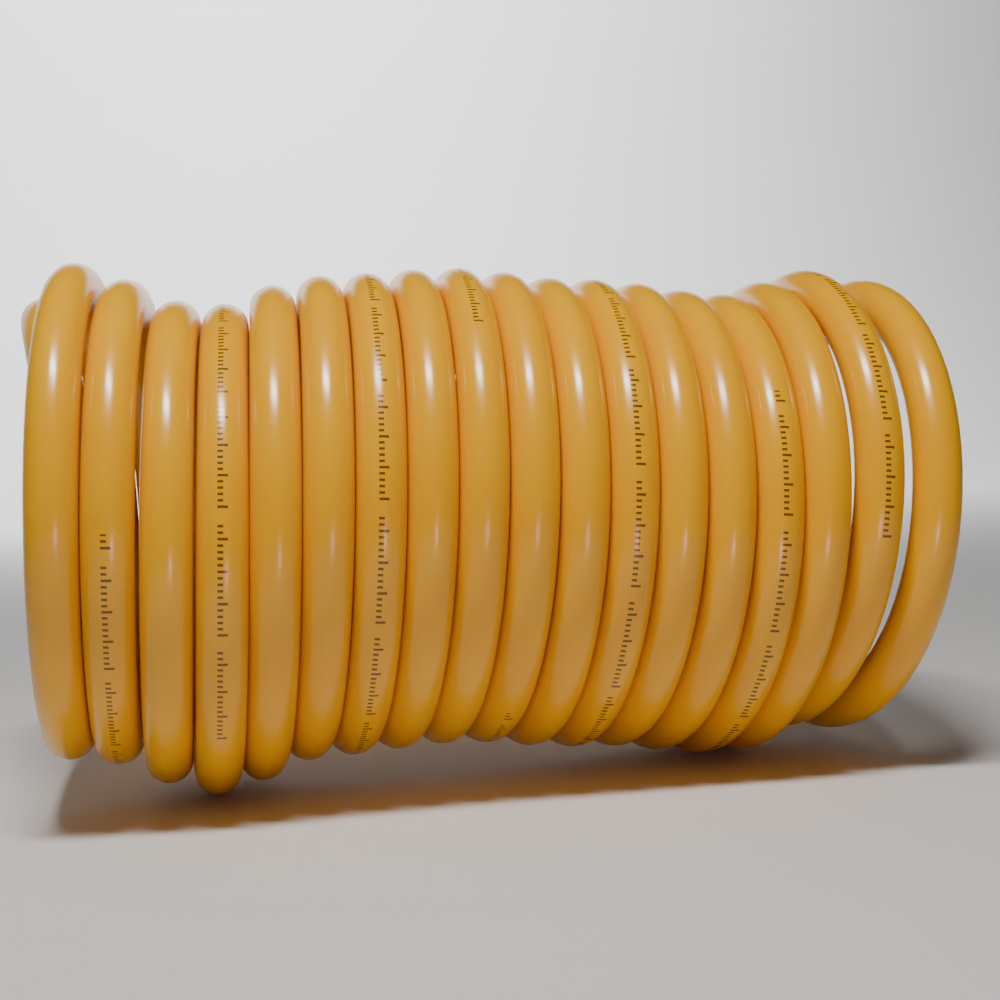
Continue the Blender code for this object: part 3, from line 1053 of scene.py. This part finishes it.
class FinishMaker:
    """Makes each finish once and hands it out again."""

    def __init__(self) -> None:
        """Start with no materials."""
        self.grain = surface_grain_group()
        self.made: dict[str, bpy.types.Material] = {}

    def start(self, name: str) -> tuple[bpy.types.Material, NodeSheet, bpy.types.Node]:
        """Start a material.

        Args:
            name: Name of the material.

        Returns:
            The material, its node sheet and its Principled node.
        """
        material = bpy.data.materials.new(name)
        material.use_nodes = True
        sheet = NodeSheet(material.node_tree)
        return material, sheet, material.node_tree.nodes["Principled BSDF"]

    def add_grain(
        self,
        sheet: NodeSheet,
        scale: float,
        roughness: float,
        spread: float,
        bump: float,
    ) -> bpy.types.Node:
        """Add the shared grain group.

        Args:
            sheet: Material's node sheet.
            scale: Features per metre.
            roughness: Middle roughness.
            spread: How much the roughness varies.
            bump: Strength of the bump.

        Returns:
            The group node.
        """
        node = sheet.add("ShaderNodeGroup", node_tree=self.grain)
        coordinates = sheet.add("ShaderNodeTexCoord")
        sheet.put(node.inputs["Vector"], coordinates.outputs["Object"])
        sheet.put(node.inputs["Scale"], scale)
        sheet.put(node.inputs["Roughness"], roughness)
        sheet.put(node.inputs["Spread"], spread)
        sheet.put(node.inputs["Bump"], bump)
        return node

    def metal(self, finish: MetalFinish) -> bpy.types.Material:
        """Make a metal.

        Args:
            finish: Its finish.

        Returns:
            The material.
        """
        if finish.name in self.made:
            return self.made[finish.name]
        material, sheet, shader = self.start(finish.name)
        grain = self.add_grain(sheet, finish.grain_scale, finish.roughness, finish.spread, finish.grain_bump)
        patches = grain.outputs["Patches"]
        stain = sheet.math("MULTIPLY_ADD", patches, finish.stain_contrast, finish.stain_floor, clamp=True)
        stain = sheet.math("MULTIPLY", stain, finish.stain_most)
        sheet.put(shader.inputs["Base Color"], sheet.mix(stain, rgba(finish.colour), rgba(finish.tarnish)))
        sheet.put(shader.inputs["Metallic"], 1.0)
        sheet.put(shader.inputs["Roughness"], grain.outputs["Roughness"])
        sheet.put(shader.inputs["Normal"], grain.outputs["Normal"])
        self.made[finish.name] = material
        return material

    def polymer(self, finish: PolymerFinish, marks: InkMarks | None = None) -> bpy.types.Material:
        """Make a polymer, with printed marks where they are given.

        Args:
            finish: Its finish.
            marks: Printed marks, or None.

        Returns:
            The material.
        """
        if finish.name in self.made:
            return self.made[finish.name]
        material, sheet, shader = self.start(finish.name)
        grain = self.add_grain(sheet, finish.grain_scale, finish.roughness, finish.spread, finish.grain_bump)
        patches = grain.outputs["Patches"]
        depth = sheet.math("MULTIPLY_ADD", patches, finish.depth_contrast, finish.depth_floor, clamp=True)
        colour = sheet.mix(depth, rgba(finish.colour), rgba(finish.deep_colour))
        if marks is not None:
            colour = sheet.mix(self.ink(sheet, marks), colour, rgba(marks.colour))
        sheet.put(shader.inputs["Base Color"], colour)
        sheet.put(shader.inputs["Roughness"], grain.outputs["Roughness"])
        sheet.put(shader.inputs["Normal"], grain.outputs["Normal"])
        sheet.put(shader.inputs["IOR"], finish.ior)
        sheet.put(shader.inputs["Specular IOR Level"], finish.specular)
        if finish.scatter > 0.0:
            sheet.put(shader.inputs["Subsurface Weight"], finish.scatter)
            sheet.put(shader.inputs["Subsurface Radius"], finish.scatter_radius)
            sheet.put(shader.inputs["Subsurface Scale"], finish.scatter_scale)
        self.made[finish.name] = material
        return material

    @staticmethod
    def ink(sheet: NodeSheet, marks: InkMarks) -> Socket:
        """Make the printed scale: ticks at even distances in groups, every fifth one taller.

        Args:
            sheet: Material's node sheet.
            marks: The marks.

        Returns:
            The ink's coverage, 0..1.
        """
        uv = sheet.add("ShaderNodeUVMap", uv_map="Hose")
        split = sheet.add("ShaderNodeSeparateXYZ")
        sheet.put(split.inputs[0], uv.outputs["UV"])
        along, across = split.outputs[0], split.outputs[1]
        start = marks.first - 2.0 * marks.period
        local = sheet.math("MODULO", sheet.math("SUBTRACT", along, start), marks.period)
        inside = sheet.math("LESS_THAN", local, marks.length)
        cells = sheet.math("DIVIDE", local, marks.cell)
        index = sheet.math("FLOOR", cells)
        group = sheet.math("LESS_THAN", sheet.math("MODULO", index, marks.group), marks.group_shown)
        within = sheet.math("MULTIPLY", sheet.math("FRACT", cells), marks.cell)
        tick = sheet.math("LESS_THAN", within, marks.width)
        full = sheet.math("LESS_THAN", sheet.math("MODULO", index, marks.tall_every), 0.5)
        short = marks.short * marks.height
        reach = sheet.math("MULTIPLY_ADD", full, marks.height - short, short)
        from_base = sheet.math("ADD", across, marks.height / 2)
        above = sheet.math("GREATER_THAN", from_base, 0.0)
        below = sheet.math("LESS_THAN", from_base, reach)
        shown = sheet.math("MULTIPLY", sheet.math("MULTIPLY", inside, group), tick)
        shown = sheet.math("MULTIPLY", shown, sheet.math("MULTIPLY", above, below))
        return sheet.math("MULTIPLY", shown, marks.strength)


# ---------------------------------------------------------------- the object
class AirHose:
    """Builds the hose and its two end fittings in the row frame."""

    def __init__(self) -> None:
        """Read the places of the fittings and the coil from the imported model."""
        self.finishes = FinishMaker()
        low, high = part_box("inlet_male_body")
        middle = (low + high) / 2
        self.inlet = FittingAxis((high.x, middle.y, middle.z), (-1.0, 0.0, 0.0))
        low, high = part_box("outlet_swivel_body")
        middle = (low + high) / 2
        self.outlet = FittingAxis((middle.x, high.y, middle.z), (0.0, -1.0, 0.0))
        low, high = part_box("hose_coil")
        self.line = HoseLine(self.inlet, self.outlet, (low.y + high.y) / 2)
        self.inlet_neck_end = FIT.hex_start + FIT.rigid_hex + FIT.neck_length
        self.swivel_hex_end = FIT.hex_start + FIT.swivel_hex
        self.outlet_neck_end = self.swivel_hex_end + HOSE.gap + FIT.flange_length + FIT.neck_length

    @staticmethod
    def place(obj: bpy.types.Object, body: Body, material: bpy.types.Material, slot: Slot, node: str) -> None:
        """Give a piece its material, its body and the CAD node it stands for.

        Args:
            obj: The piece.
            body: Body it rides on.
            material: Its material.
            slot: Record slot of its finish; not used.
            node: CAD node it replaces.
        """
        obj.data.materials.append(material)
        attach(obj, body.value)
        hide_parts(node)
        LOG.info("%s: %d faces on %s", obj.name, len(obj.data.polygons), body.value)

    def build(self) -> None:
        """Build every piece."""
        self.inlet_fitting()
        self.outlet_fitting()
        self.hose()

    def section_frames(self, points: np.ndarray, turns: np.ndarray) -> np.ndarray:
        """Give each station the direction that faces away from the coil's axis.

        Args:
            points: Points of the centre line.
            turns: Turn number of each point.

        Returns:
            One direction per point, square to the line.
        """
        tangents = directions(points)
        outward = np.zeros_like(points)
        on_coil = np.flatnonzero((turns > TAIL.leaves_at) & (turns < HOSE.last_turn))
        first, last = on_coil[0], on_coil[-1]
        for i in range(first, last + 1):
            outward[i] = square_to(tangents[i], points[i] - self.line.axis_at(turns[i]))
        for i in range(first - 1, -1, -1):
            outward[i] = square_to(tangents[i], outward[i + 1])
        for i in range(last + 1, len(points)):
            outward[i] = square_to(tangents[i], outward[i - 1])
        return outward

    def hose(self) -> None:
        points, turns = self.line.whole(self.inlet_neck_end + HOSE.gap, self.outlet_neck_end + HOSE.gap)
        steps = np.linalg.norm(np.diff(points, axis=0), axis=1)
        along = np.concatenate([[0.0], np.cumsum(steps)])
        coil_start = float(np.interp(TAIL.leaves_at + 1e-6, turns, along))
        zero = coil_start - TAIL.leaves_at * TURN_LENGTH
        obj = self.tube(points, self.section_frames(points, turns), along - zero)
        obj.data.materials.append(self.finishes.polymer(NYLON, MARKS))
        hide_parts("hose_coil", "inlet_tail", "outlet_tail")
        self.stretch(obj, turns)
        LOG.info("hose: %.3f m long, %d faces", along[-1], len(obj.data.polygons))

    @staticmethod
    def tube(points: np.ndarray, outward: np.ndarray, along: np.ndarray) -> bpy.types.Object:
        """Make the closed tube with its bore open a little way in at both ends.

        Args:
            points: Points of the centre line.
            outward: Direction away from the coil's axis at each point.
            along: Distance along the printed line at each point.

        Returns:
            The hose, with its printed line's coordinates in the UV map.
        """
        radius, bore = HOSE.outside / 2, HOSE.inside / 2
        last = len(points) - 1
        stations = [(BORE_ROWS - i, bore) for i in range(BORE_ROWS + 1)]
        stations += [(i, radius) for i in range(last + 1)]
        stations += [(last - i, bore) for i in range(BORE_ROWS + 1)]
        sides = np.cross(directions(points), outward)
        angles = [2.0 * math.pi * k / TUBE_SIDES for k in range(TUBE_SIDES)]
        bm = bmesh.new()
        uv = bm.loops.layers.uv.new("Hose")
        rings = []
        for i, size in stations:
            offs = [math.cos(angle) * outward[i] + math.sin(angle) * sides[i] for angle in angles]
            rings.append([bm.verts.new(points[i] + size * off) for off in offs])
        for j in range(len(rings) - 1):
            for k in range(TUBE_SIDES):
                n = (k + 1) % TUBE_SIDES
                face = bm.faces.new((rings[j][k], rings[j][n], rings[j + 1][n], rings[j + 1][k]))
                wrap = TUBE_SIDES if k >= TUBE_SIDES / 2 else 0
                for loop, (row, side) in zip(face.loops, ((j, k), (j, k + 1), (j + 1, k + 1), (j + 1, k))):
                    index, size = stations[row]
                    around = (side - wrap) / TUBE_SIDES * 2.0 * math.pi * size
                    loop[uv].uv = (along[index], around)
        bm.faces.new(rings[0][::-1])
        bm.faces.new(rings[-1])
        return finish_mesh("hose", bm, 60.0)

    @staticmethod
    def stretch(obj: bpy.types.Object, turns: np.ndarray) -> None:
        """Bake the hose's placement into its mesh.

        Args:
            obj: The hose.
            turns: Turn number of each point; not used.
        """
        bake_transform(obj)

    def inlet_fitting(self) -> None:
        """Make the rigid male fitting on the inlet end."""
        brass = self.finishes.metal(BRASS)
        hex_end = FIT.hex_start + FIT.rigid_hex
        profile = hexagon_length(FIT.hex_start, hex_end, FIT.body_flat)
        neck_r = FIT.neck_r - FIT.neck_play
        profile += [Ring(hex_end, neck_r), Ring(self.inlet_neck_end - FIT.soft_edge, neck_r)]
        profile += barbed_stem(self.inlet_neck_end)
        body = ThreadedEnd("inlet_fitting_body", self.inlet, profile).build()
        self.place(body, Body.COIL, brass, Slot.BRASS, "inlet_male_body")
        self.end_hardware("inlet", self.inlet, self.inlet_neck_end, Body.COIL)

    def outlet_fitting(self) -> None:
        """Make the swivel male fitting on the outlet end."""
        brass = self.finishes.metal(BRASS)
        hex_end = self.swivel_hex_end
        pocket = FIT.spigot_r + HOSE.gap
        profile = hexagon_length(FIT.hex_start, hex_end, FIT.body_flat)
        profile += [
            Ring(hex_end, pocket + FIT.edge),
            Ring(hex_end - FIT.edge, pocket),
            Ring(hex_end - FIT.ring_near, pocket),
            Ring(hex_end - FIT.ring_near, pocket + 0.0010),
            Ring(hex_end - FIT.ring_far, pocket + 0.0010),
            Ring(hex_end - FIT.ring_far, pocket),
            Ring(FIT.spigot_end, pocket),
            Ring(FIT.spigot_end, FIT.bore_r),
        ]
        body = ThreadedEnd("outlet_swivel_end", self.outlet, profile).build()
        self.place(body, Body.SWIVEL, brass, Slot.BRASS, "outlet_swivel_body")
        start = FIT.spigot_end + HOSE.gap
        flange = hex_end + HOSE.gap
        neck = flange + FIT.flange_length
        seal_end = FIT.seal_start + FIT.seal_groove
        profile = [
            Ring(start, FIT.bore_r),
            Ring(start, FIT.spigot_r - FIT.soft_edge),
            Ring(start + FIT.soft_edge, FIT.spigot_r),
            Ring(FIT.seal_start, FIT.spigot_r),
            Ring(FIT.seal_start, FIT.seal_groove_r),
            Ring(seal_end, FIT.seal_groove_r),
            Ring(seal_end, FIT.spigot_r),
            Ring(hex_end - FIT.ring_far, FIT.spigot_r),
            Ring(hex_end - FIT.ring_far, FIT.ring_groove_r),
            Ring(hex_end - FIT.ring_near, FIT.ring_groove_r),
            Ring(hex_end - FIT.ring_near, FIT.spigot_r),
            Ring(flange, FIT.spigot_r),
            Ring(flange, FIT.flange_r - FIT.edge),
            Ring(flange + FIT.edge, FIT.flange_r),
            Ring(neck - FIT.edge, FIT.flange_r),
            Ring(neck, FIT.flange_r - FIT.edge),
            Ring(neck, FIT.neck_r - FIT.neck_play),
            Ring(self.outlet_neck_end - FIT.soft_edge, FIT.neck_r - FIT.neck_play),
        ]
        stem = turned("outlet_stem", self.outlet, profile + barbed_stem(self.outlet_neck_end))
        self.place(stem, Body.OUTLET_END, brass, Slot.BRASS, "outlet_swivel_stem")
        seal_at = FIT.seal_start + FIT.seal_groove / 2
        seal = self.ring("outlet_seal", seal_at, FIT.seal_r, FIT.seal_half, 16)
        self.place(seal, Body.OUTLET_END, self.finishes.polymer(RUBBER), Slot.RUBBER, "outlet_swivel_seal")
        clip_at = hex_end - (FIT.ring_near + FIT.ring_far) / 2
        clip = self.ring("outlet_clip", clip_at, FIT.clip_r, FIT.clip_half, 12)
        self.place(clip, Body.OUTLET_END, self.finishes.metal(SPRING), Slot.RING, "outlet_retaining_ring")
        self.end_hardware("outlet", self.outlet, self.outlet_neck_end, Body.OUTLET_END)

    def ring(self, name: str, middle: float, mean_r: float, half: float, count: int) -> bpy.types.Object:
        """Make a round ring inside the swivel.

        Args:
            name: Name of the piece.
            middle: Distance from the nose.
            mean_r: Mean radius.
            half: Half its thickness.
            count: Sides of its section.

        Returns:
            The new object.
        """
        angles = np.linspace(0.0, 2.0 * math.pi, count, endpoint=False)
        profile = [Ring(middle + half * math.cos(a), mean_r + half * math.sin(a)) for a in angles]
        return turned(name, self.outlet, profile, RING_SIDES)

    def end_hardware(self, prefix: str, axis: FittingAxis, neck_end: float, body: Body) -> None:
        """Make the ferrule, hose nut and spring guard of one end.

        Args:
            prefix: End the pieces belong to.
            axis: Axis of the fitting.
            neck_end: Distance where the neck ends.
            body: Body the pieces ride on.
        """
        brass = self.finishes.metal(BRASS)
        start = neck_end + HOSE.gap
        inner, outer = HOSE.outside / 2 + HOSE.gap, FIT.neck_r - 0.0002
        profile = [
            Ring(start, inner + FIT.ferrule_lip),
            Ring(start + FIT.ferrule_taper, outer),
            Ring(start + FIT.ferrule_length - 2.0 * FIT.ferrule_taper, outer),
            Ring(start + FIT.ferrule_length, inner + FIT.ferrule_lip),
            Ring(start + FIT.ferrule_length, inner),
            Ring(start, inner),
        ]
        ferrule = turned(f"{prefix}_sleeve", axis, profile)
        self.place(ferrule, body, brass, Slot.BRASS, f"{prefix}_ferrule")
        nut_start = neck_end - FIT.neck_length + HOSE.gap
        nut = turned(f"{prefix}_nut", axis, self.nut_profile(nut_start))
        self.place(nut, body, brass, Slot.BRASS, f"{prefix}_hose_nut")
        guard_start = nut_start + FIT.nut_length - FIT.pocket + HOSE.gap + FIT.wire_d / 2
        guard = self.spring_guard(f"{prefix}_guard", axis, guard_start)
        self.place(guard, body, self.finishes.metal(ZINC), Slot.GUARD, f"{prefix}_spring_guard")

    @staticmethod
    def nut_profile(start: float) -> list[Ring]:
        """Give the rings of the hose nut.

        Args:
            start: Distance from the nose where the nut starts.

        Returns:
            Its closed profile.
        """
        end = start + FIT.nut_length
        hex_end = start + FIT.nut_length * FIT.nut_hex_share
        step = start + FIT.neck_length + FIT.ferrule_length
        pocket = end - FIT.pocket
        collar = FIT.nut_flat - 0.0002
        guard_r = FIT.guard_r + FIT.wire_d / 2 + HOSE.gap
        thread_r = FIT.neck_r + HOSE.gap
        hose_hole = HOSE.outside / 2 + 2 * HOSE.gap
        return hexagon_length(start, hex_end, FIT.nut_flat) + [
            Ring(hex_end, collar - FIT.nut_groove),
            Ring(hex_end + FIT.nut_groove_end, collar - FIT.nut_groove),
            Ring(hex_end + FIT.nut_collar, collar),
            Ring(end - FIT.nut_edge, collar),
            Ring(end, collar - 0.0003),
            Ring(end, guard_r),
            Ring(pocket, guard_r),
            Ring(pocket, hose_hole),
            Ring(step + 0.0015, hose_hole),
            Ring(step, thread_r),
            Ring(start + 0.0004, thread_r),
            Ring(start, thread_r + 0.0003),
        ]

    @staticmethod
    def spring_guard(name: str, axis: FittingAxis, start: float) -> bpy.types.Object:
        """Make the spring guard: closed turns in the nut and an open helix over the hose.

        Args:
            name: Name of the object.
            axis: Axis of the fitting.
            start: Distance from the nose where the wire starts.

        Returns:
            The new object.
        """
        closed = FIT.closed_turns * (FIT.wire_d + HOSE.gap)
        total = FIT.closed_turns + FIT.guard_turns
        path, outward = [], []
        for turn in np.linspace(0.0, total, total * FIT.guard_stations + 1):
            if turn < FIT.closed_turns:
                distance = turn / FIT.closed_turns * closed
            else:
                distance = closed + (turn - FIT.closed_turns) / FIT.guard_turns * (FIT.guard_length - closed)
            angle = 2.0 * math.pi * turn
            path.append(axis.at(start + distance, FIT.guard_r, angle))
            outward.append(unit(axis.at(0.0, 1.0, angle) - axis.at(0.0)))
        return swept(name, np.array(path), np.array(outward), FIT.wire_d / 2, WIRE_SIDES, FIT.wire_end_round)


# ---------------------------------------------------------------- stage
@dataclass(frozen=True)
class LightSpec:
    """A soft rectangular light."""

    name: str
    place: tuple[float, float, float]
    size: tuple[float, float]
    watts: float
    colour: tuple[float, float, float]
    aim: tuple[float, float, float] = (0.0, -0.095, 0.070)


@dataclass(frozen=True)
class CameraSpec:
    """Where the camera stands about the coil's middle; angles in degrees, lens in millimetres."""

    yaw: float = -10.18
    pitch: float = 2.35
    roll: float = -2.41
    distance: float = 0.4082
    lens: float = 50.3
    shift_x: float = 0.032
    shift_y: float = 0.0135


@dataclass(frozen=True)
class SweepSize:
    """Sizes of the floor and the sweep behind it, in metres."""

    half_width: float = 6.0
    front: float = -6.0
    bend_start: float = 2.0
    bend_r: float = 1.2
    top: float = 1.7
    bend_steps: int = 12


class Stage:
    """Floor, lights, world and camera."""

    CAMERA = CameraSpec()
    SWEEP = SweepSize()
    HORIZON_FADE = 3.0
    LIGHTS = (
        LightSpec("key", (-0.10, -0.37, 0.64), (0.20, 0.07), 4.2, (1.0, 0.97, 0.93)),
        LightSpec("low", (0.03, -0.50, 0.012), (0.06, 0.02), 0.12, (1.0, 0.62, 0.80)),
        LightSpec("back", (0.0, 1.70, 1.90), (2.40, 0.60), 110.0, (1.0, 1.0, 1.0), (0.0, 3.2, 0.5)),
    )

    def __init__(self, line: HoseLine) -> None:
        """Set what the camera looks at.

        Args:
            line: Line of the hose, whose coil sets the camera's target.
        """
        self.line = line

    def build(self) -> None:
        """Make the whole stage."""
        self.floor()
        self.world()
        for spec in self.LIGHTS:
            self.light(spec)
        self.camera()

    def floor(self) -> None:
        """Make the pale floor, which sweeps up behind the object."""
        bm = bmesh.new()
        sweep = self.SWEEP
        depth = [(sweep.front, 0.0), (sweep.bend_start, 0.0)]
        for step in range(1, sweep.bend_steps + 1):
            angle = math.pi / 2 * step / sweep.bend_steps
            back, rise = math.sin(angle), 1.0 - math.cos(angle)
            depth.append((sweep.bend_start + sweep.bend_r * back, sweep.bend_r * rise))
        depth.append((sweep.bend_start + sweep.bend_r, sweep.top))
        rows = [[bm.verts.new((x, y, z)) for x in (-sweep.half_width, sweep.half_width)] for y, z in depth]
        for near, far in zip(rows, rows[1:]):
            bm.faces.new((near[0], near[1], far[1], far[0]))
        mesh = bpy.data.meshes.new("floor")
        bm.to_mesh(mesh)
        bm.free()
        mesh.shade_smooth()
        obj = bpy.data.objects.new("floor", mesh)
        bpy.context.scene.collection.objects.link(obj)
        material = bpy.data.materials.new("Floor")
        material.use_nodes = True
        sheet = NodeSheet(material.node_tree)
        shader = material.node_tree.nodes["Principled BSDF"]
        sheet.put(shader.inputs["Base Color"], rgba(FLOOR_COLOUR))
        sheet.put(shader.inputs["Roughness"], FLOOR_ROUGHNESS)
        obj.data.materials.append(material)

    def world(self) -> None:
        """Give a pale horizon and a dim studio above it."""
        world = bpy.data.worlds.new("World")
        world.use_nodes = True
        sheet = NodeSheet(world.node_tree)
        direction = sheet.add("ShaderNodeTexCoord")
        split = sheet.add("ShaderNodeSeparateXYZ")
        sheet.put(split.inputs[0], direction.outputs["Generated"])
        away = sheet.math("ABSOLUTE", split.outputs[2])
        height = sheet.math("MULTIPLY", away, self.HORIZON_FADE, clamp=True)
        background = world.node_tree.nodes["Background"]
        sheet.put(background.inputs["Color"], sheet.mix(height, rgba(HORIZON_COLOUR), rgba(OVERHEAD_COLOUR)))
        sheet.put(background.inputs["Strength"], 1.0)
        bpy.context.scene.world = world

    @staticmethod
    def light(spec: LightSpec) -> None:
        """Make one area light.

        Args:
            spec: The light.
        """
        data = bpy.data.lights.new(spec.name, "AREA")
        data.shape = "RECTANGLE"
        data.size, data.size_y = spec.size
        data.energy = spec.watts
        data.color = spec.colour
        obj = bpy.data.objects.new(spec.name, data)
        obj.location = spec.place
        obj.rotation_euler = (Vector(spec.aim) - obj.location).to_track_quat("-Z", "Y").to_euler()
        bpy.context.scene.collection.objects.link(obj)

    def camera(self) -> None:
        """Make the camera in front of the coil, a little to its left."""
        spec = self.CAMERA
        yaw, pitch, roll = (math.radians(angle) for angle in (spec.yaw, spec.pitch, spec.roll))
        target = Vector(self.line.shift)
        back = Vector((math.sin(yaw) * math.cos(pitch), -math.cos(yaw) * math.cos(pitch), math.sin(pitch)))
        right = (-back).cross(Vector((0.0, 0.0, 1.0))).normalized()
        up = right.cross(-back)
        turned_right = right * math.cos(roll) + up * math.sin(roll)
        turned_up = up * math.cos(roll) - right * math.sin(roll)
        data = bpy.data.cameras.new("camera")
        data.sensor_width = 36.0
        data.lens = spec.lens
        data.shift_x = spec.shift_x
        data.shift_y = spec.shift_y
        obj = bpy.data.objects.new("camera", data)
        place = target + back * spec.distance
        columns = Matrix((turned_right, turned_up, back)).transposed().to_4x4()
        obj.matrix_world = Matrix.Translation(place) @ columns
        bpy.context.scene.collection.objects.link(obj)
        bpy.context.scene.camera = obj


def main() -> None:
    """Build the object and its stage."""
    hose = AirHose()
    hose.build()
    Stage(hose.line).build()


if __name__ == "__main__":
    main()
